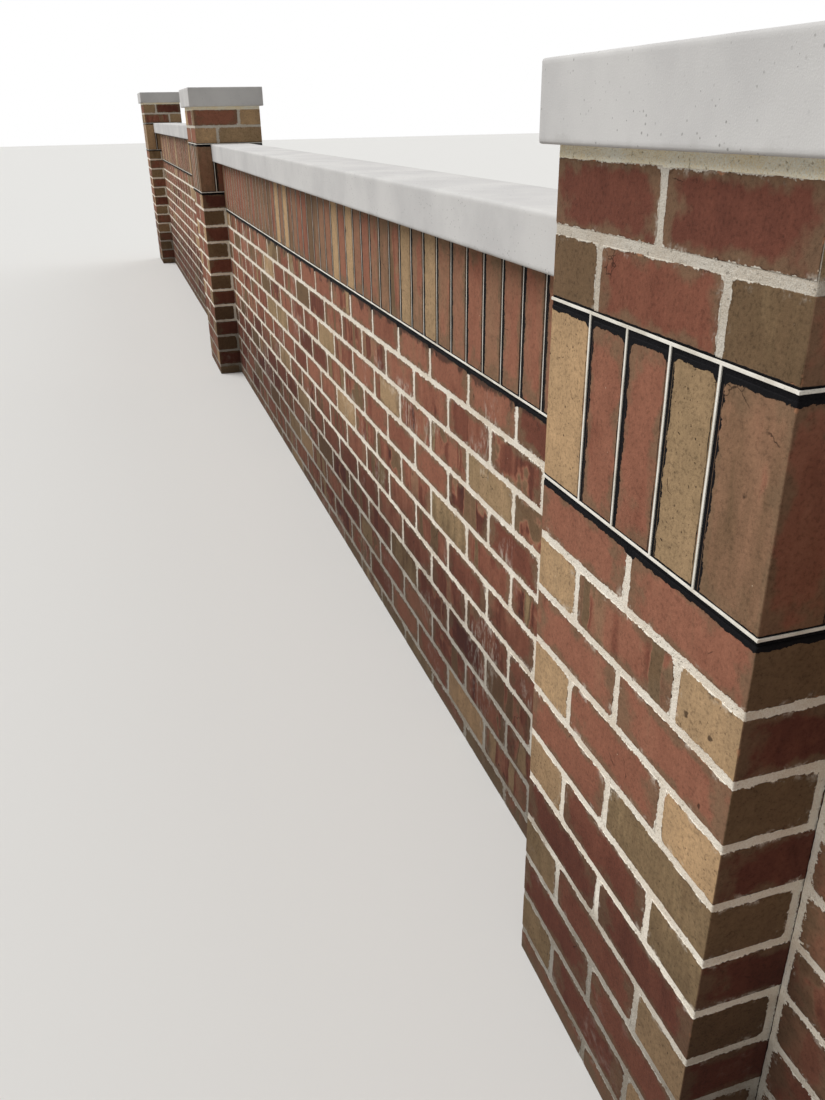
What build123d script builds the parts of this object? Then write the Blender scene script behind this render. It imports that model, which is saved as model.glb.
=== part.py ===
from build123d import *
import os

os.makedirs("parts", exist_ok=True)

# Brick garden wall: half-brick panels between brick piers, stepping down one course at each
# pier. Millimetres, +Z up, the street face towards -Y, and the origin under the middle of
# the wall at the level of the lowest ground, to which every pier and panel runs down.

# Brick and mortar
brick_length = 230.0
brick_width = 110.0
brick_height = 76.0
mortar_joint = 10.0
course = brick_height + mortar_joint

# Layout along the wall
bays = 3
bay_stretchers = 18
bay_clear = bay_stretchers * (brick_length + mortar_joint) + mortar_joint
pier_width = 2 * brick_length + mortar_joint
pier_depth = brick_length + mortar_joint + brick_width
pier_pitch = bay_clear + pier_width

# Heights: the ground meets the wall part of the way up a course
part_course = 50.0
lowest_pier_courses = 9
step_courses = 1
neck_courses = 2

# White caps on the piers
cap_bed = 14.0
cap_thickness = 92.0
cap_overhang = 20.0
cap_arris = 4.0

# White copings on the panels
panel_thickness = brick_width
coping_bed = 5.0
coping_thickness = 88.0
coping_overhang = 47.0
coping_arris = 5.0

# Bands of upright bricks, with a raised white ribbon in each black joint. The bricks show their
# edges, but at the corners their beds face the front and back, cut to what the others leave
front_inner_soldiers = 3
side_inner_soldiers = 2
front_band_joint = mortar_joint
side_band_joint = (pier_depth - (side_inner_soldiers + 2) * brick_height) / (side_inner_soldiers + 1)
panel_soldiers = 49
soldier_pitch = bay_clear / panel_soldiers
ribbon_width = 4.0
ribbon_proud = 1.0
ribbon_lift = 2.0
ribbon_shift = 2.0


def pier_middle(pier):
    """Place of a pier's middle along the wall, counted from 1 at the left."""
    return (pier - 1 - bays / 2) * pier_pitch


def band_foot(pier):
    """Height of the middle of the joint under a pier's band: the wall steps down rightwards."""
    steps = bays + 1 - pier
    return part_course + (lowest_pier_courses + steps * step_courses) * course


def ribbon_levels(pier):
    """Undersides of the two level ribbons, one in the joint below a band and one above it."""
    lower = band_foot(pier) + ribbon_lift - ribbon_width / 2
    return lower, lower + brick_length + mortar_joint


def face_joints(length, inner_soldiers, gap):
    """Middles of the joints along a pier face, whose inner upright bricks stand edge out in its
    middle, between two corner bricks that show alike."""
    first = (length - inner_soldiers * (brick_height + gap)) / 2
    return [first + i * (brick_height + gap) for i in range(inner_soldiers + 1)]


def coping_foot(bay):
    """Height of a coping's underside: its panel's upright course stands level with the band
    of the pier on its right."""
    return band_foot(bay + 1) + mortar_joint / 2 + brick_length + coping_bed


def clear_of_bay(bay, side_face):
    """Cut the ribbons of a pier's side where a panel and its coping meet that side."""
    foot = coping_foot(bay)
    coping_width = panel_thickness + 2 * coping_overhang
    with BuildSketch(Plane.YZ.offset(side_face)) as outline:
        with Locations((0, foot / 2)):
            Rectangle(panel_thickness, foot)
        with Locations((0, foot + coping_thickness / 2)):
            Rectangle(coping_width, coping_thickness + 2 * ribbon_width)
    extrude(outline.sketch, amount=ribbon_proud, both=True, mode=Mode.SUBTRACT)


def slab(middle, foot, top, length, width):
    """A plain level block of masonry, added to the part that is being built."""
    with BuildSketch(Plane((middle, 0, foot))) as outline:
        Rectangle(length, width)
    extrude(outline.sketch, amount=top - foot)


def keep(piece, label):
    piece.part.label = label
    export_step(piece.part, f"parts/{label}.step")


# Piers, from left to right
for pier in range(1, bays + 2):
    middle = pier_middle(pier)
    foot = band_foot(pier)
    shaft_top = foot - mortar_joint / 2
    band_top = foot + brick_length + mortar_joint * 3 / 2
    neck_top = band_top + neck_courses * course - mortar_joint
    cap_foot = neck_top + cap_bed

    with BuildPart() as shaft:
        slab(middle, 0, shaft_top, pier_width, pier_depth)
    keep(shaft, f"pier_{pier}_shaft")

    with BuildPart() as band:
        slab(middle, shaft_top, band_top, pier_width, pier_depth)
    keep(band, f"pier_{pier}_soldier_band")

    with BuildPart() as ribbons:
        for level in ribbon_levels(pier):
            with BuildSketch(Plane((middle, 0, level))):
                Rectangle(pier_width + 2 * ribbon_proud, pier_depth + 2 * ribbon_proud)
                Rectangle(pier_width, pier_depth, mode=Mode.SUBTRACT)
            extrude(amount=ribbon_width)
        lower, upper = ribbon_levels(pier)
        front = face_joints(pier_width, front_inner_soldiers, front_band_joint)
        side = face_joints(pier_depth, side_inner_soldiers, side_band_joint)
        with BuildSketch(Plane((middle, 0, lower))):
            for turn in range(4):
                along, across = (pier_width, pier_depth) if turn % 2 == 0 else (pier_depth, pier_width)
                for place in front if turn % 2 == 0 else side:
                    spot = Location((place - ribbon_shift - along / 2, -(across + ribbon_proud) / 2))
                    with Locations(Location((0, 0, 0), (0, 0, 90 * turn)) * spot):
                        Rectangle(ribbon_width, ribbon_proud)
        extrude(amount=upper - lower)
        if pier > 1:
            clear_of_bay(pier - 1, middle - pier_width / 2)
        if pier <= bays:
            clear_of_bay(pier, middle + pier_width / 2)
    keep(ribbons, f"pier_{pier}_ribbons")

    with BuildPart() as neck:
        slab(middle, band_top, neck_top, pier_width, pier_depth)
    keep(neck, f"pier_{pier}_neck")

    with BuildPart() as bed:
        slab(middle, neck_top, cap_foot, pier_width, pier_depth)
    keep(bed, f"pier_{pier}_cap_bed")

    with BuildPart() as cap:
        cap_top = cap_foot + cap_thickness
        slab(middle, cap_foot, cap_top, pier_width + 2 * cap_overhang, pier_depth + 2 * cap_overhang)
        fillet(cap.edges().filter_by(Axis.Z) + cap.faces().sort_by(Axis.Z)[-1].edges(), cap_arris)
    keep(cap, f"pier_{pier}_cap")

# Bays, from left to right
for bay in range(1, bays + 1):
    middle = (pier_middle(bay) + pier_middle(bay + 1)) / 2
    brickwork_top = band_foot(bay + 1) - mortar_joint / 2
    foot = coping_foot(bay)

    with BuildPart() as brickwork:
        slab(middle, 0, brickwork_top, bay_clear, panel_thickness)
    keep(brickwork, f"bay_{bay}_brickwork")

    with BuildPart() as soldiers:
        slab(middle, brickwork_top, foot, bay_clear, panel_thickness)
    keep(soldiers, f"bay_{bay}_soldier_course")

    with BuildPart() as ribbons:
        level = ribbon_levels(bay + 1)[0]
        reach = (panel_thickness + ribbon_proud) / 2
        with BuildSketch(Plane((middle - ribbon_proud / 2, 0, level))):
            with Locations((0, reach), (0, -reach)):
                Rectangle(bay_clear - ribbon_proud, ribbon_proud)
        extrude(amount=ribbon_width)
        with BuildSketch(Plane((middle, 0, level))):
            for face in (-1, 1):
                with Locations((face * ribbon_shift, face * reach)):
                    with GridLocations(soldier_pitch, 0, panel_soldiers - 1, 1):
                        Rectangle(ribbon_width, ribbon_proud)
        extrude(amount=foot - level)
    keep(ribbons, f"bay_{bay}_ribbons")

    with BuildPart() as coping:
        slab(middle, foot, foot + coping_thickness, bay_clear, panel_thickness + 2 * coping_overhang)
        fillet(coping.edges().filter_by(Axis.X), coping_arris)
    keep(coping, f"bay_{bay}_coping")
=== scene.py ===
import bpy
import math
import random
from mathutils import Matrix, Vector


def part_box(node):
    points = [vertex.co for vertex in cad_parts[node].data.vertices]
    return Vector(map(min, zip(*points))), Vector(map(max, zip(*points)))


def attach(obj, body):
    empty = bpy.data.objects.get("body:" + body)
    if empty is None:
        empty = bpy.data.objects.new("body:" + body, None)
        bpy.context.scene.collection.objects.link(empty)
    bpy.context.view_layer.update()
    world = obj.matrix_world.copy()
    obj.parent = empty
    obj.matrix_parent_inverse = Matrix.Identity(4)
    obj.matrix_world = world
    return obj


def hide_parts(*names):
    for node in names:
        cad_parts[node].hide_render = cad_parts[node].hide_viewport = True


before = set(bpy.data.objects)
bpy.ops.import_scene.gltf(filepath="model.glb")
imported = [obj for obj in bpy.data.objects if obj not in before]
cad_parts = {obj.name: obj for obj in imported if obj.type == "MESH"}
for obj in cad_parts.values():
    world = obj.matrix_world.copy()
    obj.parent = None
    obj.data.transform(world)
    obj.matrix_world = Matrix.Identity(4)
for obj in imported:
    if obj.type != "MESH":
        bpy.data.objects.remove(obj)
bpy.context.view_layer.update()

# Bricks of the piers and panels. Pressed clay bricks of 230 x 110 x 76 mm, red on their long
# faces and flashed tan and khaki on their ends, where the fire reached them. They are laid in
# courses of 86 mm, bonded round each pier and in stretcher bond on the half-brick panels.

brick_length = 0.230
brick_width = 0.110
brick_height = 0.076
joint = 0.010
course = brick_height + joint
brick_arris = 0.0015
brick_chips = 0.004
brick_wander = (0.0006, 14.0)
laying_slip = (0.0002, 0.0002, 0.0006)
lowest_level = 0.001

# Share of bricks that are red on their long faces, the most fire, and the lap of cream mortar
pier_bricks = (0.88, 0.7, 0.0012)
panel_bricks = (0.88, 1.3, 0.0010)

# Tones from 0, dark purple, over red and khaki to 1, tan: the lowest, highest and likeliest
red_tones = (0.10, 0.62, 0.50)
flashed_tones = (0.66, 0.98, 0.80)
end_tones = (0.72, 1.0, 0.96)
draw = random.Random()


class Wire:
    """A node's output. Arithmetic on wires adds Math nodes, or Vector Math nodes on vectors."""

    def __init__(self, nodes, socket):
        self.nodes = nodes
        self.socket = socket

    def reckon(self, operation, first, second=0.0):
        kinds = {end.socket.type for end in (first, second) if isinstance(end, Wire)}
        maths = "ShaderNodeMath" if kinds == {"VALUE"} else "ShaderNodeVectorMath"
        return self.nodes.add(maths, {"operation": operation}, {0: first, 1: second})

    def __add__(self, other):
        return self.reckon("ADD", self, other)

    def __radd__(self, other):
        return self.reckon("ADD", other, self)

    def __sub__(self, other):
        return self.reckon("SUBTRACT", self, other)

    def __rsub__(self, other):
        return self.reckon("SUBTRACT", other, self)

    def __mul__(self, other):
        return self.reckon("MULTIPLY", self, other)

    def __rmul__(self, other):
        return self.reckon("MULTIPLY", other, self)

    def __rtruediv__(self, other):
        return self.reckon("DIVIDE", other, self)

    def __abs__(self):
        return self.reckon("ABSOLUTE", self)

    def least(self, other):
        return self.reckon("MINIMUM", self, other)

    def most(self, other):
        return self.reckon("MAXIMUM", self, other)

    def axis(self, number):
        return self.nodes.add("ShaderNodeSeparateXYZ", {}, {0: self}, number)

    def rise(self, low, high):
        """From 0 where the wire is at low to 1 where it is at high, smoothly."""
        settings = {"interpolation_type": "SMOOTHSTEP"}
        return self.nodes.add("ShaderNodeMapRange", settings, {0: self, 1: low, 2: high})

    def ramp(self, stops):
        return self.nodes.add("ShaderNodeValToRGB", {"stops": stops}, {0: self})


class Nodes:
    """A node tree, and the one way in which nodes are added to it."""

    def __init__(self, tree):
        self.tree = tree

    def add(self, kind, settings, inputs, output=0):
        node = self.tree.nodes.new(kind)
        for setting, value in settings.items():
            if setting == "stops":
                for position, colour in value[1:-1]:
                    node.color_ramp.elements.new(position)
                for element, (position, colour) in zip(node.color_ramp.elements, value):
                    element.position = position
                    element.color = colour
            else:
                setattr(node, setting, value)
        for key, value in inputs.items():
            socket = node.inputs[key]
            if isinstance(value, Wire):
                self.tree.links.new(value.socket, socket)
            elif socket.type == "VECTOR" and isinstance(value, (int, float)):
                socket.default_value = (value, value, value)
            else:
                socket.default_value = value
        return Wire(self, node.outputs[output]) if node.outputs else node

    def given(self, name):
        """One of a Geometry Nodes tree's own inputs."""
        return self.add("NodeGroupInput", {}, {}, name)

    def named(self, name, kind):
        """An attribute, read inside a Geometry Nodes tree."""
        return self.add("GeometryNodeInputNamedAttribute", {"data_type": kind}, {"Name": name})

    def vector(self, x, y, z):
        return self.add("ShaderNodeCombineXYZ", {}, {0: x, 1: y, 2: z})

    def noise(self, at, scale, detail=2.0, roughness=0.5, output=0):
        inputs = {"Vector": at, "Scale": scale, "Detail": detail, "Roughness": roughness}
        return self.add("ShaderNodeTexNoise", {}, inputs, output)

    def mix(self, share, first, second):
        """Two colours, the second by that share."""
        return self.add("ShaderNodeMix", {"data_type": "RGBA"}, {0: share, 6: first, 7: second}, 2)

    def spots(self, at, scale, least_size, most_size):
        """Round spots, one to a cell at most. Sizes are shares of a cell, drawn for each spot."""
        cells = self.add("ShaderNodeTexVoronoi", {}, {"Vector": at, "Scale": scale})
        drawn = Wire(self, cells.socket.node.outputs["Color"]).axis(0)
        size = (drawn * (most_size - least_size) + least_size).most(0.001)
        return cells.rise(size, size * 0.55)

    def surface(self, colour, roughness, height, depth):
        """Closes a material. Its relief is a height from 0 to 1, over a depth in metres."""
        normal = self.add("ShaderNodeBump", {}, {"Distance": depth, "Height": height})
        inputs = {
            "Base Color": colour,
            "Roughness": roughness,
            "Specular IOR Level": 0.08,
            "Normal": normal,
        }
        shader = self.add("ShaderNodeBsdfPrincipled", {}, inputs)
        self.add("ShaderNodeOutputMaterial", {}, {"Surface": shader})


def paint(red, green, blue):
    """A colour as the eye's 0 to 255, for a node."""
    shades = [(value / 255 + 0.055) / 1.055 for value in (red, green, blue)]
    return [shade ** 2.4 for shade in shades] + [1.0]


def new_material(name):
    material = bpy.data.materials.new(name)
    material.use_nodes = True
    material.node_tree.nodes.clear()
    return material, Nodes(material.node_tree)


def new_tree(name, sockets):
    """A Geometry Nodes tree with named inputs, and its one output."""
    tree = bpy.data.node_groups.new(name, "GeometryNodeTree")
    for socket, kind in sockets.items():
        tree.interface.new_socket(socket, in_out="INPUT", socket_type=kind)
    tree.interface.new_socket("Geometry", in_out="OUTPUT", socket_type="NodeSocketGeometry")
    return Nodes(tree)


def block_template(name, cuts, whole_smooth=False):
    """A block with rounded arrises and no size of its own, in cuts along x, y and z. Each of its
    vertices says which share of the block's core it stands on, and its step out from there in
    arris radii. With whole_smooth, a loop beside each arris keeps the faces between flat."""
    stations = []
    for count in cuts:
        loop = [(-1, 1)] if whole_smooth else []
        end = [(1, -1)] if whole_smooth else []
        inner = [(2 * cut / count - 1, 0) for cut in range(1, count)]
        stations.append([(-1, -1), (-1, 0)] + loop + inner + end + [(1, 0), (1, 1)])
    numbers = {}
    cores = []
    steps = []
    arrises = []

    def corner(*places):
        if places not in numbers:
            numbers[places] = len(cores)
            picked = [stations[axis][place] for axis, place in enumerate(places)]
            outward = [step if core * step > 0 else 0 for core, step in picked]
            reach = math.hypot(*outward)
            cores.append(Vector([core for core, step in picked]))
            ways = [(out, step) for out, (core, step) in zip(outward, picked)]
            steps.append(Vector([out / reach if out else step for out, step in ways]))
            arrises.append(1.0 if sum(map(abs, outward)) > 1 else 0.0)
        return numbers[places]

    quads = []
    for axis in range(3):
        first, second = (axis + 1) % 3, (axis + 2) % 3
        for place in (0, len(stations[axis]) - 1):
            for a in range(len(stations[first]) - 1):
                for b in range(len(stations[second]) - 1):
                    turn = [(a, b), (a + 1, b), (a + 1, b + 1), (a, b + 1)]
                    quad = []
                    for one, two in turn if place else reversed(turn):
                        places = [0, 0, 0]
                        places[axis] = place
                        places[first] = one
                        places[second] = two
                        quad.append(corner(*places))
                    quads.append(quad)
    mesh = bpy.data.meshes.new(name)
    mesh.from_pydata([core + step for core, step in zip(cores, steps)], [], quads)
    for face in mesh.polygons:
        face.use_smooth = whole_smooth or any(arrises[vertex] for vertex in face.vertices)
    set_attribute(mesh, "core", cores)
    set_attribute(mesh, "step", steps)
    set_attribute(mesh, "arris", arrises)
    return bpy.data.objects.new(name, mesh)


def set_attribute(mesh, name, values):
    """Gives a mesh's vertices one number or vector each."""
    plain = isinstance(values[0], float)
    layer = mesh.attributes.new(name, "FLOAT" if plain else "FLOAT_VECTOR", "POINT")
    if plain:
        layer.data.foreach_set("value", values)
    else:
        layer.data.foreach_set("vector", [number for vector in values for number in vector])


def block_laying():
    """The tree that sets a template on every vertex of a mesh, and gives each its own size from
    the vertex's half size, with a wandering surface and chipped arrises."""
    nodes = new_tree("block laying", {
        "Geometry": "NodeSocketGeometry",
        "Template": "NodeSocketObject",
        "Arris": "NodeSocketFloat",
        "Wander": "NodeSocketFloat",
        "Wander scale": "NodeSocketFloat",
        "Chips": "NodeSocketFloat",
        "Material": "NodeSocketMaterial",
    })
    template = nodes.add("GeometryNodeObjectInfo", {}, {"Object": nodes.given("Template")}, "Geometry")
    points = nodes.given("Geometry")
    placed = nodes.add("GeometryNodeInstanceOnPoints", {}, {"Points": points, "Instance": template})
    blocks = nodes.add("GeometryNodeRealizeInstances", {}, {"Geometry": placed})
    step = nodes.named("step", "FLOAT_VECTOR")
    radius = nodes.given("Arris")
    core = nodes.named("core", "FLOAT_VECTOR") * (nodes.named("half", "FLOAT_VECTOR") - radius)
    kept = {"data_type": "FLOAT_VECTOR", "domain": "POINT"}
    inputs = {"Geometry": blocks, "Name": "place", "Value": core + step * radius}
    blocks = nodes.add("GeometryNodeStoreNamedAttribute", kept, inputs)
    at = nodes.named("middle", "FLOAT_VECTOR") + nodes.named("place", "FLOAT_VECTOR")
    waver = nodes.noise(at, nodes.given("Wander scale"), 3.0, 0.5, "Color") - 0.5
    lost = nodes.noise(at, 38.0, 3.0, 0.6).rise(0.6, 0.78) * nodes.named("arris", "FLOAT")
    worn = at + waver * nodes.given("Wander") - step * (lost * nodes.given("Chips"))
    blocks = nodes.add("GeometryNodeSetPosition", {}, {"Geometry": blocks, "Position": worn})
    inputs = {"Geometry": blocks, "Material": nodes.given("Material")}
    blocks = nodes.add("GeometryNodeSetMaterial", {}, inputs)
    nodes.add("NodeGroupOutput", {}, {"Geometry": blocks})
    return nodes.tree


def grown(name, mesh, tree, values):
    """The plain mesh that a Geometry Nodes tree makes of a mesh, as a piece at the origin."""
    piece = bpy.data.objects.new(name, mesh)
    bpy.context.scene.collection.objects.link(piece)
    modifier = piece.modifiers.new(tree.name, "NODES")
    modifier.node_group = tree
    for socket in tree.interface.items_tree:
        if socket.in_out == "INPUT" and socket.name in values:
            modifier[socket.identifier] = values[socket.name]
    graph = bpy.context.evaluated_depsgraph_get()
    made = bpy.data.meshes.new_from_object(piece.evaluated_get(graph), depsgraph=graph)
    piece.modifiers.clear()
    piece.data = made
    for spare in ("core", "step", "arris", "middle"):
        if spare in made.attributes:
            made.attributes.remove(made.attributes[spare])
    return piece


laying = block_laying()


def lay(name, blocks, template, material, arris, wander, chips=0.0):
    """One piece of many blocks, each with its middle, half size, tones and mortar smears. wander
    holds how far its faces leave the true plane, and the scale of that."""
    mesh = bpy.data.meshes.new(name)
    mesh.from_pydata([block["middle"] for block in blocks], [], [])
    for key in ("middle", "half", "tone", "black", "cream", "corner"):
        set_attribute(mesh, key, [block[key] for block in blocks])
    values = {
        "Template": template,
        "Arris": arris,
        "Wander": wander[0],
        "Wander scale": wander[1],
        "Chips": chips,
        "Material": material,
    }
    return grown(name, mesh, laying, values)


def block(low, high, tone=(0, 0, 0), black=(0, 0, 0), cream=0.0, corner=(0, 0, 0)):
    """One block between two corners. black holds how far black mortar laps over its left sides,
    foot and top, and cream how far cream mortar laps over its edges. corner points to the upright
    arris at the corner of a pier, where none does, and ends in 1 where the mortar takes painted
    shade, in the necks under the caps."""
    low, high = Vector(low), Vector(high)
    return {
        "middle": (low + high) / 2,
        "half": (high - low) / 2,
        "tone": Vector(tone),
        "black": Vector(black),
        "cream": cream,
        "corner": Vector(corner),
    }


def settle(piece, node):
    """A finished piece stands for its CAD node, which is hidden, and hangs on the root body."""
    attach(piece, "root")
    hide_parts(node)


def clay_tones(red_share, fire):
    """Tones for a brick's long faces and its ends, and how strongly the fire has flashed it, up
    to a share of fire."""
    red = draw.triangular(*red_tones)
    flashed = draw.triangular(*flashed_tones)
    end = draw.triangular(*end_tones)
    return (red if draw.random() < red_share else flashed, end, draw.uniform(0, fire))


def slipped(low, high):
    """The corners of a brick, as far off their line as a bricklayer leaves them."""
    slip = Vector([draw.uniform(-most, most) for most in laying_slip])
    return Vector(low) + slip, Vector(high) + slip


def laid(low, high, kind, black, corner=(0, 0, 0)):
    """A brick in cream mortar. What would reach under the ground is cut."""
    red_share, fire, cream_lap = kind
    low, high = slipped(low, high)
    low.z = max(low.z, lowest_level)
    return block(low, high, clay_tones(red_share, fire), black, cream_lap, corner)


def pier_course(low, high, foot, pair_in_front, black, neck_shade=0):
    """The five bricks that show in a pier's course: a pair of stretchers on one long face, and
    on the other a stretcher between the ends of the two bricks that make the sides."""
    middle = (low.x + high.x) / 2
    top = foot + brick_height
    front = -1 if pair_in_front else 1
    face = front * high.y
    inner = face - front * brick_width
    back = inner - front * joint
    rows = [
        (low.x, middle - joint / 2, face, inner, (-1, front, neck_shade)),
        (middle + joint / 2, high.x, face, inner, (1, front, neck_shade)),
        (low.x, low.x + brick_width, back, -face, (-1, -front, neck_shade)),
        (high.x - brick_width, high.x, back, -face, (1, -front, neck_shade)),
        (middle - brick_length / 2, middle + brick_length / 2, -inner, -face, (0, 0, neck_shade)),
    ]
    bricks = []
    for left, right, near, far, corner in rows:
        ends = (left, min(near, far), foot), (right, max(near, far), top)
        bricks.append(laid(*ends, pier_bricks, black, corner))
    return bricks


def panel_course(low, high, foot, half_bat_at_pier, black):
    """A course of stretchers from pier to pier. In every other one a half bat is at the pier."""
    top = foot + brick_height
    start = high.x - joint
    if half_bat_at_pier:
        start -= brick_width + joint
    spans = [(start + joint, high.x - joint)] if half_bat_at_pier else []
    while start - joint > low.x + joint:
        end = max(start - brick_length, low.x + joint)
        spans.append((end, start))
        start = end - joint
    bricks = []
    for left, right in spans:
        bricks.append(laid((left, low.y, foot), (right, high.y, top), panel_bricks, black))
    return bricks


cream_dark = paint(228, 211, 188)
cream_light = paint(255, 248, 234)
black_dark = paint(11, 11, 13)
black_light = paint(29, 28, 30)
# Dark of the iron specks, also used for the painted shadow line beside the mortar
iron_and_shadow_dark = paint(52, 38, 30)
# Painted shade as well as dirt: how much the mortar darkens towards the foot
soil_and_shade_loss = 0.65
# Painted shade: how much darker the mortar of the necks is, under the caps
neck_shade_loss = 0.30
lap_edge = (0.0003, -0.0003)
far_off = 100.0

fired_colours = [
    (0.00, paint(65, 47, 46)),
    (0.12, paint(93, 56, 47)),
    (0.30, paint(124, 76, 61)),
    (0.44, paint(143, 93, 74)),
    (0.55, paint(156, 105, 84)),
    (0.63, paint(151, 115, 90)),
    (0.70, paint(119, 94, 71)),
    (0.79, paint(115, 93, 69)),
    (0.84, paint(147, 124, 93)),
    (0.91, paint(179, 149, 114)),
    (1.00, paint(202, 166, 125)),
]
scorched_tone = 0.05
starved_tone = 0.73


def fired_clay():
    """Brick clay. Its tone runs in upright streaks where the flame went past, with darker and
    more khaki edges, iron pits, mortar lapped over the arrises with a painted shadow line beside it,
    and bloom and dirt at the foot, under a darkening that is partly damp and partly painted shade."""
    material, nodes = new_material("fired clay")
    at = nodes.add("ShaderNodeTexCoord", {}, {}, "Object")
    place = nodes.add("ShaderNodeAttribute", {"attribute_name": "place"}, {}, "Vector")
    half = nodes.add("ShaderNodeAttribute", {"attribute_name": "half"}, {}, "Vector")
    tone = nodes.add("ShaderNodeAttribute", {"attribute_name": "tone"}, {}, "Vector")
    black = nodes.add("ShaderNodeAttribute", {"attribute_name": "black"}, {}, "Vector")
    cream = nodes.add("ShaderNodeAttribute", {"attribute_name": "cream"}, {}, "Fac")
    corner = nodes.add("ShaderNodeAttribute", {"attribute_name": "corner"}, {}, "Vector")

    # Distances to the edges of the face: across it, to the nearest one, and from top and foot
    gaps = half - abs(place)
    gap_x, gap_y, gap_z = gaps.axis(0), gaps.axis(1), gaps.axis(2)
    across = gap_x.most(gap_y)
    edge = across.least(gap_z)

    # The upright arris at the corner of a pier has no joint beside it
    towards = half - place * corner
    off_corner = towards.axis(0).most(towards.axis(1))
    beside = across + off_corner.rise(0.016, 0.014)
    from_top = half.axis(2) - place.axis(2)
    from_foot = half.axis(2) + place.axis(2)

    # Nor does cream mortar lie where a joint is black. It rounds the corners between two joints
    level_gap = (from_top + black.axis(2) * far_off).least(from_foot + black.axis(1) * far_off)
    joint_gap = beside * level_gap * (1.0 / (beside + level_gap))

    # Distances from the left and the right edge of the face, as seen from in front of it
    faces = nodes.add("ShaderNodeTexCoord", {}, {}, "Normal")
    face_x, face_y = faces.axis(0), faces.axis(1)
    sideways = place.axis(1) * face_x - place.axis(0) * face_y
    reach = half.axis(1) * abs(face_x) + half.axis(0) * abs(face_y)
    from_left = reach + sideways
    from_right = reach - sideways

    # An end shows where the face lies across the brick's length
    lies_along = (half.axis(0) - half.axis(1)).rise(-0.001, 0.001)
    end_gap = gap_x * lies_along + gap_y * (1 - lies_along)
    side_gap = gap_y * lies_along + gap_x * (1 - lies_along)
    is_end = (side_gap - end_gap).rise(-0.001, 0.001)
    base = tone.axis(0) * (1 - is_end) + tone.axis(1) * is_end

    # Streaks, flashes and burns run up the brick as it stands in the wall, and khaki patches
    # of its own lie where little air reached it
    fire = tone.axis(2)
    along = place.axis(0) + place.axis(1)
    seed = tone.axis(0) * 37.0 + tone.axis(1) * 91.0
    own = place + nodes.vector(seed, seed, seed)
    bent_along = along + (nodes.noise(own, 26.0, 3.0, 0.6) - 0.5) * 0.022
    streak = nodes.noise(nodes.vector(along, place.axis(2) * 0.25, seed), 30.0, 3.0)
    band = nodes.noise(nodes.vector(bent_along, place.axis(2) * 0.06, seed + 5.0), 12.0, 1.0)
    scorch = nodes.noise(nodes.vector(bent_along, place.axis(2) * 0.4, seed + 9.0), 13.0, 3.0, 0.6)
    starved = nodes.noise(own, 13.0, 3.0, 0.5)
    drift = nodes.noise(at, 7.0, 1.0)
    is_red = base.rise(0.72, 0.60)
    is_tan = base.rise(0.64, 0.84)
    burnt = fire.rise(0.30, 0.75) * is_red
    flash = band.rise(0.550, 0.590) * burnt
    beside_flash = band.rise(0.49, 0.55) * (1 - band.rise(0.555, 0.580)) * burnt
    flash_tone = 0.71 + (tone.axis(1) - 0.74) * (tone.axis(1) - 0.74) * 3.8
    scrape = nodes.noise(nodes.vector(along, place.axis(2) * 0.12, seed), 170.0, 2.0)
    value = base + (streak - 0.5) * (0.08 + fire * 0.42) * (0.35 + is_red * 0.65)
    value = value + (drift - 0.5) * 0.06 + (scrape - 0.5) * 0.05
    scorched = (beside_flash * 0.55).most(scorch.rise(0.57, 0.68) * fire * is_red * 0.85)
    value = value + (scorched_tone - value) * scorched
    starved = starved.rise(0.54, 0.64) * fire.rise(0.25, 0.85) * is_red * 0.9
    value = value + (starved_tone - value) * starved
    value = value + (flash_tone - value) * flash * 0.95
    colour = value.ramp(fired_colours)
    stands = half.axis(2).rise(0.05, 0.10)
    tip_gap = gap_z * stands + across * (1 - stands)
    skin = nodes.noise(own, 24.0, 3.0, 0.6)
    rim = (edge.least(tip_gap * 0.4) - (skin - 0.43) * 0.055).rise(0.011, -0.003)
    colour = nodes.mix(rim * (0.12 + is_red * 0.58), colour, paint(124, 103, 80))

    # Pressed skin: soft clouds, a fine grain, and a little of it lost along the arrises
    clouds = nodes.noise(own, 42.0, 3.0, 0.55) - 0.5
    grain = nodes.noise(at, 210.0, 4.0, 0.75)
    sunk = grain.rise(0.50, 0.34) * (0.28 + is_tan * 0.08)
    raised = grain.rise(0.52, 0.72) * 0.20
    colour = colour * (1 + clouds * 0.45 - sunk + raised)
    lost_skin = (edge + (nodes.noise(at, 95.0, 3.0, 0.6) - 0.5) * 0.012).rise(0.0022, 0.0006)
    lost_skin = lost_skin * nodes.noise(at, 26.0, 2.0).rise(0.57, 0.64)
    colour = nodes.mix(lost_skin * 0.6, colour, paint(183, 128, 95))

    # Iron specks and pits, a few large blows, some pale grains, and hairline fire cracks
    bent = at + (nodes.noise(at, 180.0, 2.0, 0.5, "Color") - 0.5) * 0.008
    freckled = (0.22 + is_tan * 0.78) * (0.35 + fire.rise(0.60, 0.20) * 0.65)
    specks = nodes.spots(bent, 78.0, -0.20, 0.20).most(nodes.spots(bent, 165.0, -0.08, 0.27) * 0.85)
    blows = nodes.spots(bent, 22.0, -0.34, 0.15)
    grains = nodes.spots(at, 60.0, -0.50, 0.07)
    wriggle = at + (nodes.noise(at, 34.0, 4.0, 0.55, "Color") - 0.5) * 0.03
    inputs = {"Vector": wriggle, "Scale": 13.0}
    cells = nodes.add("ShaderNodeTexVoronoi", {"feature": "DISTANCE_TO_EDGE"}, inputs)
    cracks = cells.rise(0.010, 0.004) * nodes.noise(at, 12.0, 1.0).rise(0.65, 0.69)
    iron = (specks * freckled).most(blows * 0.85)
    colour = nodes.mix(iron * 0.92, colour, iron_and_shadow_dark)
    colour = nodes.mix(cracks * 0.75, colour, paint(46, 32, 26))
    colour = nodes.mix(grains * 0.8, colour, paint(226, 204, 178))
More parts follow.
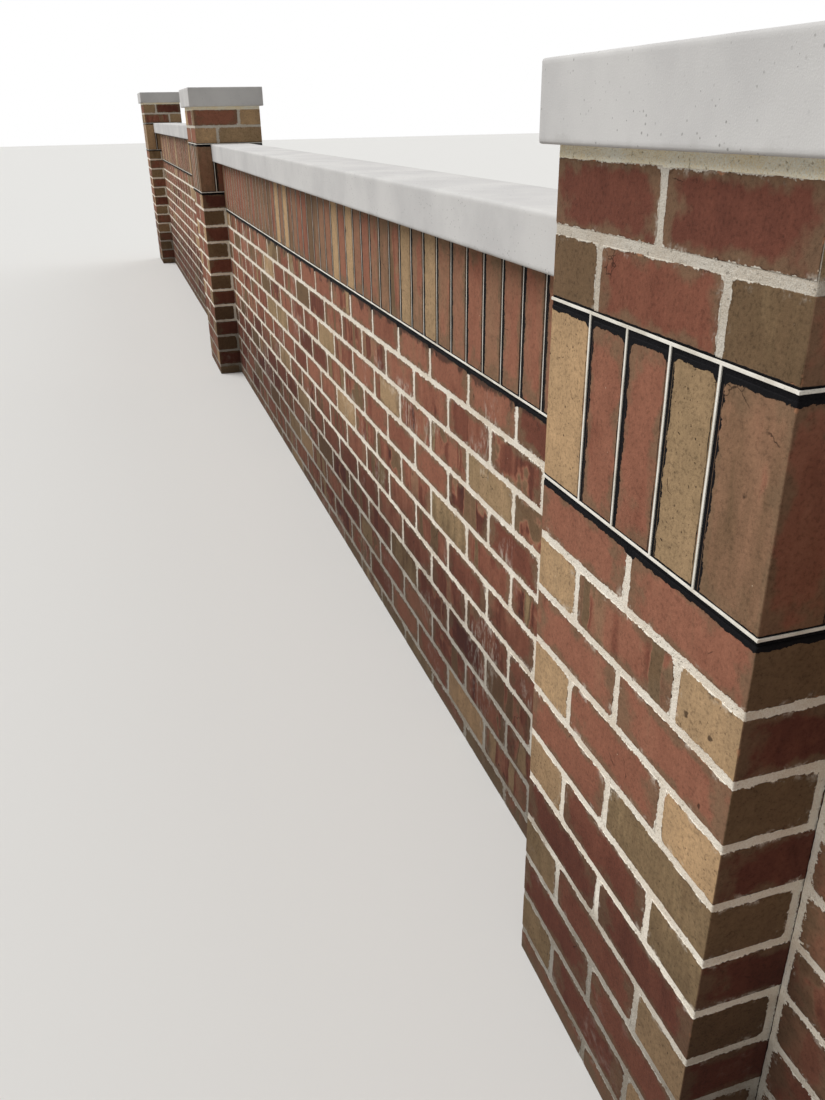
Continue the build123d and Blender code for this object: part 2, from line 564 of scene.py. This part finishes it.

    # Bloom and dirt towards the ground, and a darkening towards the foot that is partly damp and partly
    # painted shade, stronger in the panels between the piers
    height = at.axis(2)
    patches = nodes.noise(at, 9.0, 4.0, 0.65)
    bloom = (patches + height * -0.35).rise(0.50, 0.66)
    bloom = bloom * nodes.noise(at, 70.0, 3.0, 0.7).rise(0.35, 0.7)
    colour = nodes.mix(bloom * 0.40, colour, paint(205, 188, 174))
    sheltered = abs(at.axis(1)).rise(0.080, 0.058)
    # Painted shade as well as damp: the lowest courses go darker and more purple, more so on the panels
    # beside the piers
    damp_and_shade = (height + (patches - 0.5) * 0.25).rise(0.57, 0.30)
    colour = nodes.mix(damp_and_shade * (0.30 + sheltered * 0.15), colour, paint(58, 32, 30))
    colour = colour * (1 - damp_and_shade * 0.22)
    soil = (height + (patches - 0.5) * 0.12).rise(0.06, 0.0)
    colour = nodes.mix(soil * 0.65, colour, paint(92, 80, 64))

    # Cream mortar lapped over the arrises and wiped thinly on, with a painted shadow line in broken
    # lengths beside it, and black mortar over the tops
    uneven = nodes.noise(at, 45.0, 3.0, 0.6) - 0.5
    ragged = nodes.noise(at, 260.0, 3.0, 0.65) - 0.5
    filled_corner = beside.most(level_gap).rise(0.010, 0.0) * (0.0010 + sheltered * 0.0020)
    lap = joint_gap - cream - filled_corner - uneven * (0.009 + sheltered * 0.004)
    lap = lap - ragged * (0.006 + sheltered * 0.009)
    has_cream = cream.rise(0.0, 0.0005)
    creamed = lap.rise(*lap_edge) * has_cream
    # Painted shadow: a broken dark line just outside the cream, where brick and mortar meet
    seam_shadow = lap.rise(0.0022, 0.0006) * nodes.noise(at, 70.0, 3.0, 0.6).rise(0.53, 0.60) * has_cream
    wiped = lap.rise(0.007, 0.0) * nodes.noise(at, 38.0, 4.0, 0.7).rise(0.54, 0.66) * has_cream
    dragged = nodes.noise(nodes.vector(along, at.axis(2) * 0.35, 0.0), 85.0, 4.0, 0.7)
    dragged = dragged.rise(0.47, 0.62)
    dragged = dragged * lap.rise(0.045, 0.0) * nodes.noise(at, 5.0, 2.0).rise(0.60, 0.66) * sheltered
    wiped = wiped.most(dragged * has_cream * 0.8)
    grit = nodes.noise(at, 700.0, 2.0)
    lime = nodes.mix(grit.rise(0.30, 0.62), cream_dark, cream_light)
    # The lime darkens towards the foot, partly dirt and partly painted shade, and in the necks under the
    # caps as painted shade
    soiled_and_shaded = (height + (patches - 0.5) * 0.2).rise(0.45, 0.15)
    lime = lime * (1 - soiled_and_shaded * soil_and_shade_loss) * (1 - corner.axis(2) * neck_shade_loss)
    colour = nodes.mix(wiped * 0.45, colour, lime)
    colour = nodes.mix(seam_shadow * 0.6, colour, iron_and_shadow_dark)
    colour = nodes.mix(creamed, colour, lime)
    smoke = nodes.noise(at, 16.0, 4.0, 0.68)
    sooty = (from_top - 0.004 - (smoke - 0.45) * 0.12).rise(0.010, -0.004) * sheltered
    sooty = sooty * black.axis(2).rise(0.003, 0.005) * black.axis(0).rise(0.001, 0.0)
    colour = nodes.mix(sooty * 0.7, colour, paint(40, 36, 34))
    over = uneven * 0.010 + ragged * 0.005
    drip = beside.rise(0.010, 0.002) * 0.005
    down = (from_top - black.axis(2) - over - drip).rise(*lap_edge)
    down = down * black.axis(2).rise(0.0, 0.001)
    up = (from_foot - black.axis(1) - over * 0.3).rise(*lap_edge)
    up = up * black.axis(1).rise(0.0, 0.0005)
    laps_sides = black.axis(0).rise(0.0, 0.0005) * off_corner.rise(0.014, 0.016)
    left = (from_left - black.axis(0) - sheltered * 0.0010 - over * 1.2).rise(*lap_edge)
    right = (from_right - 0.0026 - sheltered * 0.0014 - over * 0.4).rise(*lap_edge)
    blackened = down.most(up).most(left.most(right) * laps_sides)
    colour = nodes.mix(blackened, colour, nodes.mix(grit, black_dark, black_light))

    # Specks and cracks stay out of the relief, which works out all that it holds three times
    relief = 0.5 + (nodes.noise(at, 420.0, 3.0, 0.6) - 0.5) * 0.35 + (grain - 0.5) * 0.25
    relief = relief - lost_skin * 0.5 + creamed * 0.3 + blackened * 0.3
    roughness = 0.80 + (grain - 0.5) * 0.3
    nodes.surface(colour, roughness, relief, 0.0012)
    return material


clay = fired_clay()
brick_template = block_template("brick template", (2, 1, 1))
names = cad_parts
piers = sorted(name.removesuffix("_shaft") for name in names if name.endswith("_shaft"))
bays = sorted(name.removesuffix("_brickwork") for name in names if name.endswith("_brickwork"))
neck_courses = 2


def pair_leads(number, courses_down):
    """Whether a pier's course has its pair of stretchers in front. The bond is one along the
    whole wall, so it changes with each course and with each step between the piers."""
    return (number + courses_down) % 2 == 0


def lay_bricks(name, bricks):
    return lay(name, bricks, brick_template, clay, brick_arris, brick_wander, brick_chips)


under_band = (0.0, 0.0, 0.0062)
over_band = (0.0, 0.0022, 0.0)
shaft_seed = 100
neck_seed = 200
panel_seed = 300

# The firing of some bricks was picked: of the two middle piers' shafts course by course, from the
# top down, and of their necks and the third panel as a whole. The seeds above fire the others
# Some of these picks paint shade: the bricks of the necks under the caps and of the third pier's side
# face come out darker, as they are in shade
picked_courses = {
    2: (173, 243, 320, 449, 494, 696, 709, 891, 920, 1140, 1071),
    3: (5292, 8742, 11236, 5454, 1623, 13231, 7265, 1535, 123, 550),
}
picked_necks = {2: 395, 3: 746665}
picked_panels = {3: 15459}

for number, pier in enumerate(piers, 1):
    low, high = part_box(pier + "_shaft")
    picked = picked_courses.get(number, ())
    bricks = []
    foot = high.z - brick_height
    down = 1
    while foot + brick_height > joint:
        draw.seed(picked[down - 1] if down <= len(picked) else shaft_seed * number + down)
        black = under_band if down == 1 else (0.0, 0.0, 0.0)
        bricks += pier_course(low, high, foot, pair_leads(number, down), black)
        foot -= course
        down += 1
    settle(lay_bricks(pier + "_shaft_bricks", bricks), pier + "_shaft")

    low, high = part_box(pier + "_neck")
    draw.seed(picked_necks.get(number, neck_seed + number))
    bricks = []
    for up in range(neck_courses):
        black = (0.0, 0.0, 0.0) if up else over_band
        # The neck's bricks carry its painted shade into the mortar lapped over them
        bricks += pier_course(low, high, low.z + up * course, pair_leads(number, up), black, 1)
    settle(lay_bricks(pier + "_neck_bricks", bricks), pier + "_neck")

for number, bay in enumerate(bays, 1):
    low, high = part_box(bay + "_brickwork")
    draw.seed(picked_panels.get(number, panel_seed + number))
    bricks = []
    foot = high.z - brick_height
    down = 1
    while foot + brick_height > joint:
        black = under_band if down == 1 else (0.0, 0.0, 0.0)
        half_bat = (number + down) % 2 == 1
        bricks += panel_course(low, high, foot, half_bat, black)
        foot -= course
        down += 1
    settle(lay_bricks(bay + "_bricks", bricks), bay + "_brickwork")


# Cream mortar of the piers and panels. A coarse lime and cement mortar, struck nearly flush and
# left gritty, which fills all that is between the bricks and binds them into one mass.

mortar_setback = 0.0006
mortar_arris = 0.0015
mortar_wander = (0.0006, 45.0)


def sandy_mortar(name, dark, light, depth):
    """Mortar with its sand showing, pits, dirt at the foot, black run over its top edge, and
    cracks where a panel meets its piers. It goes darker towards the foot, partly dirt and partly
    painted shade, and darker in the necks under the caps as painted shade."""
    material, nodes = new_material(name)
    at = nodes.add("ShaderNodeTexCoord", {}, {}, "Object")
    place = nodes.add("ShaderNodeAttribute", {"attribute_name": "place"}, {}, "Vector")
    half = nodes.add("ShaderNodeAttribute", {"attribute_name": "half"}, {}, "Vector")
    black = nodes.add("ShaderNodeAttribute", {"attribute_name": "black"}, {}, "Vector")
    corner = nodes.add("ShaderNodeAttribute", {"attribute_name": "corner"}, {}, "Vector")
    drift = nodes.noise(at, 14.0, 3.0)
    grit = nodes.noise(at, 620.0, 3.0, 0.6)
    lumps = nodes.noise(at, 170.0, 3.0, 0.6)
    colour = nodes.mix((grit * 0.7 + drift * 0.5).rise(0.35, 0.80), dark, light)
    sand = nodes.spots(at, 330.0, -0.25, 0.50)
    holes = nodes.spots(at, 150.0, -0.45, 0.20).most(lumps.rise(0.36, 0.28))
    pit = [shade * 0.55 for shade in dark]
    colour = nodes.mix(sand * 0.42, colour, pit)
    colour = nodes.mix(holes * 0.75, colour, pit)
    # Darker towards the foot, partly dirt and partly painted shade, and darker in the necks under the
    # caps as painted shade
    soiled_and_shaded = (at.axis(2) + (drift - 0.5) * 0.2).rise(0.45, 0.15)
    colour = colour * (1 - soiled_and_shaded * soil_and_shade_loss) * (1 - corner.axis(2) * neck_shade_loss)
    soil = (at.axis(2) + (drift - 0.5) * 0.12).rise(0.08, 0.0)
    colour = nodes.mix(soil * 0.6, colour, paint(104, 92, 74))
    from_top = half.axis(2) - place.axis(2)
    from_end = half.axis(0) - abs(place.axis(0))
    uneven = (nodes.noise(at, 60.0, 3.0, 0.6) - 0.5) * 0.012
    run = (from_top - black.axis(2) - 0.005 - uneven).rise(0.0004, -0.0004)
    run = run * black.axis(2).rise(0.0, 0.001)
    crack = (from_end - black.axis(0) - uneven * 0.3).rise(0.0004, -0.0004)
    crack = crack * black.axis(0).rise(0.0, 0.0005)
    colour = nodes.mix(run.most(crack), colour, nodes.mix(grit, black_dark, black_light))
    relief = 0.5 + (grit - 0.5) * 0.5 + (lumps - 0.5) * 0.8 - holes * 0.3 - crack * 0.5
    nodes.surface(colour, 0.92, relief, depth)
    return material


cream_mortar = sandy_mortar("cream mortar", cream_dark, cream_light, 0.0020)
pier_mass_template = block_template("pier mass template", (14, 10, 30), True)
panel_mass_template = block_template("panel mass template", (110, 4, 26), True)


def mass(name, node, template, material, black, neck_shade=0):
    """The mortar of a node as one mass, set back a little from the faces of its bricks."""
    low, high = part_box(node)
    inset = Vector((mortar_setback, mortar_setback, 0))
    if template is panel_mass_template:
        inset.x = 0
    low.z = max(low.z, lowest_level)
    body = block(low + inset, high - inset, black=black, corner=(0, 0, neck_shade))
    return lay(name, [body], template, material, mortar_arris, mortar_wander)


for pier in piers:
    settle(mass(pier + "_shaft_mortar", pier + "_shaft", pier_mass_template, cream_mortar, under_band),
           pier + "_shaft")
    # The neck's mortar takes painted shade, as under the cap
    settle(mass(pier + "_neck_mortar", pier + "_neck", pier_mass_template, cream_mortar, (0, 0, 0), 1),
           pier + "_neck")

cracked_ends = (0.0016, 0.0, under_band[2])

for bay in bays:
    settle(mass(bay + "_mortar", bay + "_brickwork", panel_mass_template, cream_mortar, cracked_ends),
           bay + "_brickwork")


# Bands of upright bricks. The same bricks stand on end, edge out, in a band round each pier and
# in a row along each panel under its coping. At the corners of a pier their beds face front and
# back, cut to what the others leave, and their edges face along the wall.

front_inner_bricks = 3
side_inner_bricks = 2
front_band_joint = joint
panel_soldiers = 49
soldier_joint = 0.011
soldier_black = (0.0040, 0.0018, 0.0062)
soldier_fire = 0.6

# Tones of the browns, with the likeliest last, those of the tans, and the shares that are tan
band_browns = (0.40, 0.84, 0.60)
panel_browns = (0.46, 0.73, 0.60)
soldier_tans = (0.84, 1.0, 0.94)
front_tan_share = 0.5
side_tan_share = 0.4
panel_tan_share = 0.12

# The firing of the two middle piers' bands and of the second panel's upright bricks was picked
# Some band picks paint shade: bricks on the side of a pier's band come out darker, as they are in shade
picked_bands = {2: 39001, 3: 992388}
picked_uprights = {2: 134842}
band_seed = 400
upright_seed = 500


def soldier_tones(tan_share, browns):
    """Tones for both kinds of upright face, red to brown or by a share tan, and the fire."""
    faces = []
    for side in range(2):
        brown = draw.triangular(*browns)
        tan = draw.triangular(*soldier_tans)
        faces.append(tan if draw.random() < tan_share else brown)
    return (faces[0], faces[1], draw.uniform(0, soldier_fire))


def soldier(low, high, tan_share, browns, corner=(0, 0, 0)):
    low, high = slipped(low, high)
    tones = soldier_tones(tan_share, browns)
    return block(low, high, tones, soldier_black, 0.0, corner)


def band_joints(length, count, gap):
    """Middles of the joints along a pier face, with that many bricks edge out between corners."""
    first = (length - count * (brick_height + gap)) / 2
    return [first + i * (brick_height + gap) for i in range(count + 1)]


def band_layout(low, high):
    """The width of a joint and the middles of all joints, in front and then at the sides."""
    depth = high.y - low.y
    side_gap = (depth - (side_inner_bricks + 2) * brick_height) / (side_inner_bricks + 1)
    front = band_joints(high.x - low.x, front_inner_bricks, front_band_joint)
    side = band_joints(depth, side_inner_bricks, side_gap)
    return front_band_joint, front, side_gap, side


def band_bricks(low, high):
    """Upright bricks of a pier's band: a corner brick at each corner, and the ones between."""
    front_gap, front, side_gap, side = band_layout(low, high)
    foot, top = low.z + joint, high.z - joint
    corner = front[0] - front_gap / 2
    columns = [(0, corner)]
    columns += [(near + front_gap / 2, far - front_gap / 2) for near, far in zip(front, front[1:])]
    columns.append((front[-1] + front_gap / 2, high.x - low.x))
    rows = [(near + side_gap / 2, far - side_gap / 2) for near, far in zip(side, side[1:])]
    bricks = []
    for back in (False, True):
        for column, (left, right) in enumerate(columns):
            sideways = {0: -1, len(columns) - 1: 1}.get(column, 0)
            deep = brick_height if sideways else brick_width
            near = high.y - deep if back else low.y
            ends = (low.x + left, near, foot), (low.x + right, near + deep, top)
            corner_way = (sideways, 1 if back else -1, 0)
            bricks.append(soldier(*ends, front_tan_share, band_browns, corner_way))
    for x in (low.x, high.x - brick_width):
        for near, far in rows:
            ends = (x, low.y + near, foot), (x + brick_width, low.y + far, top)
            bricks.append(soldier(*ends, side_tan_share, band_browns))
    return bricks


def panel_soldier_bricks(low, high):
    """Upright bricks of a panel, at an even pitch from pier to pier."""
    pitch = (high.x - low.x) / panel_soldiers
    foot = low.z + joint
    bricks = []
    for i in range(panel_soldiers):
        left = low.x + i * pitch + soldier_joint / 2
        right = low.x + (i + 1) * pitch - soldier_joint / 2
        ends = (left, low.y, foot), (right, high.y, foot + brick_length)
        bricks.append(soldier(*ends, panel_tan_share, panel_browns))
    return bricks


for number, pier in enumerate(piers, 1):
    node = pier + "_soldier_band"
    draw.seed(picked_bands.get(number, band_seed + number))
    bricks = band_bricks(*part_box(node))
    settle(lay_bricks(pier + "_band_bricks", bricks), node)

for number, bay in enumerate(bays, 1):
    node = bay + "_soldier_course"
    draw.seed(picked_uprights.get(number, upright_seed + number))
    bricks = panel_soldier_bricks(*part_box(node))
    settle(lay_bricks(bay + "_upright_bricks", bricks), node)


# Black mortar of the bands. Mortar coloured with lamp black, pressed in nearly flush so that the
# white ribbons stand out on it.

black_mortar = sandy_mortar("black mortar", black_dark, black_light, 0.0012)

for pier in piers:
    node = pier + "_soldier_band"
    settle(mass(pier + "_band_mortar", node, pier_mass_template, black_mortar, (0, 0, 0)),
           node)

for bay in bays:
    node = bay + "_soldier_course"
    settle(mass(bay + "_upright_mortar", node, panel_mass_template, black_mortar, (0, 0, 0)),
           node)


# Ribbons of the tuck pointing. Strips of white lime putty, nearly 4 mm wide and finer upright on
# the panels, pressed into a groove in the black mortar and cut off sharp on both sides.

ribbon_proud = 0.0008
panel_ribbon_proud = -0.0002
ribbon_root = 0.0030
pier_ribbon = 0.0036
panel_ribbon = 0.0024
level_panel_ribbon = 0.0036
ribbon_shift = 0.002
ribbon_lift = 0.002
ribbon_arris = 0.0003
ribbon_piece = 0.03
ribbon_wander = 0.0010
ribbon_stray = 0.0009
ribbon_seed = 600


def ribbon_laying():
    """The tree that runs a ribbon along each edge of a mesh. Its vertices hold the way out."""
    nodes = new_tree("ribbon laying", {
        "Geometry": "NodeSocketGeometry",
        "Width": "NodeSocketFloat",
        "Proud": "NodeSocketFloat",
        "Root": "NodeSocketFloat",
        "Piece length": "NodeSocketFloat",
        "Wander": "NodeSocketFloat",
        "Material": "NodeSocketMaterial",
    })
    lines = nodes.add("GeometryNodeMeshToCurve", {}, {"Mesh": nodes.given("Geometry")})
    inputs = {"Curve": lines, "Length": nodes.given("Piece length")}
    lines = nodes.add("GeometryNodeResampleCurve", {"mode": "LENGTH"}, inputs)
    at = nodes.add("GeometryNodeInputPosition", {}, {})
    outward = nodes.named("outward", "FLOAT_VECTOR")
    proud, root = nodes.given("Proud"), nodes.given("Root")
    waver = (nodes.noise(at, 16.0, 2.0, 0.5, "Color") - 0.5) * nodes.given("Wander")
    offset = waver + outward * ((proud - root) * 0.5)
    lines = nodes.add("GeometryNodeSetPosition", {}, {"Geometry": lines, "Offset": offset})
    inputs = {"Curve": lines, "Normal": outward}
    lines = nodes.add("GeometryNodeSetCurveNormal", {"mode": "FREE"}, inputs)
    inputs = {"Width": proud + root, "Height": nodes.given("Width")}
    section = nodes.add("GeometryNodeCurvePrimitiveQuadrilateral", {}, inputs)
    inputs = {"Curve": section, "Radius": ribbon_arris}
    section = nodes.add("GeometryNodeFilletCurve", {"mode": "POLY"}, inputs)
    inputs = {"Curve": lines, "Profile Curve": section, "Fill Caps": True}
    strips = nodes.add("GeometryNodeCurveToMesh", {}, inputs)
    inputs = {"Geometry": strips, "Shade Smooth": False}
    strips = nodes.add("GeometryNodeSetShadeSmooth", {}, inputs)
    inputs = {"Geometry": strips, "Material": nodes.given("Material")}
    strips = nodes.add("GeometryNodeSetMaterial", {}, inputs)
    nodes.add("NodeGroupOutput", {}, {"Geometry": strips})
    return nodes.tree


def lime_putty():
    material, nodes = new_material("white lime putty")
    at = nodes.add("ShaderNodeTexCoord", {}, {}, "Object")
    stain = nodes.noise(at, 22.0, 4.0, 0.6)
    grain = nodes.noise(at, 500.0, 3.0, 0.6)
    colour = nodes.mix(stain.rise(0.30, 0.6), paint(224, 217, 202), paint(252, 247, 236))
    colour = nodes.mix(grain.rise(0.42, 0.3) * 0.5, colour, paint(140, 138, 130))
    nodes.surface(colour, 0.7, grain, 0.0003)
    return material


putty = lime_putty()
ribbon_tree = ribbon_laying()


def ribbons(name, runs, width, proud):
    """One piece of straight ribbons. Each run has its two ends and the way out of the wall."""
    mesh = bpy.data.meshes.new(name)
    ends = [point for start, end, outward in runs for point in (start, end)]
    mesh.from_pydata(ends, [(2 * i, 2 * i + 1) for i in range(len(runs))], [])
    set_attribute(mesh, "outward", [outward for start, end, outward in runs for side in range(2)])
    values = {
        "Width": width,
        "Proud": proud,
        "Root": ribbon_root,
        "Piece length": ribbon_piece,
        "Wander": ribbon_wander,
        "Material": putty,
    }
    return grown(name, mesh, ribbon_tree, values)


def pier_ribbon_runs(low, high):
    """Two level rings and the uprights between them, one in each joint of the band."""
    middle = (low + high) / 2
    lower = low.z + joint / 2 + ribbon_lift
    upper = lower + brick_length + joint
    front_gap, front, side_gap, side = band_layout(low, high)
    runs = []
    for turn in range(4):
        length, depth = high.x - low.x, high.y - low.y
        if turn % 2:
            length, depth = depth, length
        spin = Matrix.Rotation(turn * math.pi / 2, 3, "Z")
        outward = spin @ Vector((0, -1, 0))

        def spot(along, level):
            turned = spin @ Vector((along - length / 2, -depth / 2, 0))
            return Vector((middle.x + turned.x, middle.y + turned.y, level))

        for level in (lower, upper):
            runs.append((spot(-ribbon_proud, level), spot(length + ribbon_proud, level), outward))
        for place in side if turn % 2 else front:
            along = place - ribbon_shift + draw.uniform(-ribbon_stray, ribbon_stray)
            runs.append((spot(along, lower), spot(along, upper), outward))
    return runs


draw.seed(ribbon_seed)
for pier in piers:
    runs = pier_ribbon_runs(*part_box(pier + "_soldier_band"))
    piece = ribbons(pier + "_tuck_pointing", runs, pier_ribbon, ribbon_proud)
    settle(piece, pier + "_ribbons")

for bay in bays:
    low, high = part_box(bay + "_soldier_course")
    pitch = (high.x - low.x) / panel_soldiers
    level = low.z + joint / 2 + ribbon_lift
    level_runs = []
    upright_runs = []
    for face, plane in ((-1, low.y), (1, high.y)):
        outward = Vector((0, face, 0))
        level_runs.append((Vector((low.x, plane, level)), Vector((high.x, plane, level)), outward))
        for i in range(1, panel_soldiers):
            along = low.x + i * pitch + face * ribbon_shift + draw.uniform(-ribbon_stray, ribbon_stray)
            upright_runs.append((Vector((along, plane, level)), Vector((along, plane, high.z)), outward))
    level_ribbons = ribbons(bay + "_level_ribbons", level_runs, level_panel_ribbon, ribbon_proud)
    settle(level_ribbons, bay + "_ribbons")
    uprights = ribbons(bay + "_upright_ribbons", upright_runs, panel_ribbon, panel_ribbon_proud)
    settle(uprights, bay + "_ribbons")


# Cap beds. A thick bed of yellower, sandier mortar that the cap is laid on, struck off flush with
# the neck's last course. It reaches a little into the bricks below it and the cap above.

bed_inset = Vector((0.0004, 0.0004, -0.002))
bed_arris = 0.0005
bed_wander = (0.0024, 60.0)
bed_mortar = sandy_mortar("bed mortar", paint(250, 227, 178), paint(255, 252, 236), 0.003)
bed_template = block_template("bed template", (60, 44, 3), True)

for pier in piers:
    low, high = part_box(pier + "_cap_bed")
    bed = [block(low + bed_inset, high - bed_inset)]
    piece = lay(pier + "_bed_mortar", bed, bed_template, bed_mortar, bed_arris, bed_wander)
    settle(piece, pier + "_cap_bed")


# Caps. Slabs of white cement, cast in a mould and left as they came out of it, 92 mm thick. They
# overhang the pier by 20 mm all round and lie on their bed by their weight.

cap_inset = Vector((0.0006, 0.0006, 0.0006))
cap_arris = 0.0035
cap_wander = (0.0006, 22.0)
cap_chips = 0.0025


def white_cement():
    """Cast white cement: fine grey specks, denser in patches, a few blowholes, faint stains."""
    material, nodes = new_material("white cement")
    at = nodes.add("ShaderNodeTexCoord", {}, {}, "Object")
    place = nodes.add("ShaderNodeAttribute", {"attribute_name": "place"}, {}, "Vector")
    half = nodes.add("ShaderNodeAttribute", {"attribute_name": "half"}, {}, "Vector")
    drift = nodes.noise(at, 5.0, 4.0, 0.6)
    grain = nodes.noise(at, 520.0, 3.0, 0.6)
    colour = nodes.mix(drift.rise(0.3, 0.7), paint(203, 201, 199), paint(217, 215, 212))
    patches = nodes.noise(at, 11.0, 3.0).rise(0.40, 0.60)
    specks = nodes.spots(at, 170.0, -0.26, 0.34) * (0.15 + patches * 0.85)
    colour = nodes.mix(specks * 0.75, colour, paint(140, 138, 134))
    colour = nodes.mix(grain.rise(0.55, 0.75) * 0.3, colour, paint(238, 236, 232))
    holes = nodes.spots(at, 55.0, -0.4, 0.09)
    colour = nodes.mix(holes * 0.5, colour, paint(120, 118, 112))
    from_foot = half.axis(2) + place.axis(2)
    grime = (from_foot + (nodes.noise(at, 40.0, 4.0, 0.6) - 0.5) * 0.03).rise(0.010, 0.0)
    colour = nodes.mix(grime * 0.12, colour, paint(150, 146, 134))
    relief = 0.5 + (grain - 0.5) * 0.4 + (nodes.noise(at, 90.0, 3.0) - 0.5) * 0.15 - holes * 0.4
    nodes.surface(colour, 0.85, relief, 0.0006)
    return material


cement = white_cement()
cap_template = block_template("cap template", (40, 30, 7), True)

for pier in piers:
    node = pier + "_cap"
    low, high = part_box(node)
    slab = [block(low + cap_inset, high - cap_inset)]
    piece = lay(pier + "_cap_slab", slab, cap_template, cement, cap_arris, cap_wander, cap_chips)
    settle(piece, node)


# Copings. The same white cement, cast along each panel as a slab 204 mm wide and 88 mm thick, its
# ends built against the piers.

coping_inset = Vector((0.0, 0.0008, 0.0008))
coping_arris = 0.0045
coping_wander = (0.0008, 3.0)
coping_chips = 0.003
coping_template = block_template("coping template", (200, 9, 5), True)

for bay in bays:
    node = bay + "_coping"
    low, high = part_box(node)
    slab = [block(low + coping_inset, high - coping_inset)]
    wear = (coping_arris, coping_wander, coping_chips)
    piece = lay(bay + "_coping_slab", slab, coping_template, cement, *wear)
    settle(piece, node)


# Floor, light and camera. A plain pale floor at the foot of the wall, soft light from above its
# front and weaker light from behind it, and the view along the wall from beside the third pier.

floor_reach = 60.0
floor_corners = [(x * floor_reach, y * floor_reach, 0) for x, y in ((-1, -1), (1, -1), (1, 1), (-1, 1))]
floor_mesh = bpy.data.meshes.new("floor")
floor_mesh.from_pydata(floor_corners, [], [(0, 1, 2, 3)])
floor = bpy.data.objects.new("floor", floor_mesh)
bpy.context.scene.collection.objects.link(floor)
pale, nodes = new_material("pale floor")
seen = nodes.add("ShaderNodeLightPath", {}, {}, "Is Camera Ray")
nodes.surface(nodes.mix(seen, paint(172, 170, 167), paint(225, 224, 221)), 0.9, 0.5, 0.001)
floor_mesh.materials.append(pale)

sky_light = 0.30
world = bpy.data.worlds.new("studio")
bpy.context.scene.world = world
world.use_nodes = True
world.node_tree.nodes.clear()
nodes = Nodes(world.node_tree)
path = nodes.add("ShaderNodeLightPath", {}, {}, "Is Camera Ray")
glossy = nodes.add("ShaderNodeLightPath", {}, {}, "Is Glossy Ray")
strength = path.most(glossy) * (1 - sky_light) + sky_light
sky = nodes.add("ShaderNodeBackground", {}, {"Color": (1, 1, 1, 1), "Strength": strength})
nodes.add("ShaderNodeOutputWorld", {}, {"Surface": sky})

# Where each lamp stands, its strength and the angle in degrees that it fills
lamps = {
    "front lamp": (Vector((-0.35, -0.8, 1.05)), 2.5, 50),
    "back lamp": (Vector((-0.5, 0.9, 0.5)), 0.9, 70),
}
for name, (towards, energy, softness) in lamps.items():
    lamp = bpy.data.lights.new(name, "SUN")
    lamp.energy = energy
    lamp.angle = math.radians(softness)
    lamp_holder = bpy.data.objects.new(name, lamp)
    lamp_holder.rotation_euler = towards.to_track_quat("Z", "Y").to_euler()
    bpy.context.scene.collection.objects.link(lamp_holder)

camera_place = Vector((3.2446, -0.7047, 1.3671))
camera_yaw = 0.3026
camera_pitch = -0.4452
camera_roll = -0.0185
camera = bpy.data.cameras.new("camera")
camera.lens = 29.94
camera.clip_start = 0.02
camera.clip_end = 300.0
level = math.cos(camera_pitch)
ahead = Vector((-math.cos(camera_yaw) * level, math.sin(camera_yaw) * level, math.sin(camera_pitch)))
right = ahead.cross(Vector((0, 0, 1))).normalized()
turn = Matrix.Rotation(camera_roll, 3, -ahead)
right = turn @ right
up = right.cross(ahead)
holder = bpy.data.objects.new("camera", camera)
axes = Matrix((right, up, -ahead)).transposed()
holder.matrix_world = Matrix.Translation(camera_place) @ axes.to_4x4()
bpy.context.scene.collection.objects.link(holder)
bpy.context.scene.camera = holder
bpy.context.scene.view_settings.view_transform = "Standard"
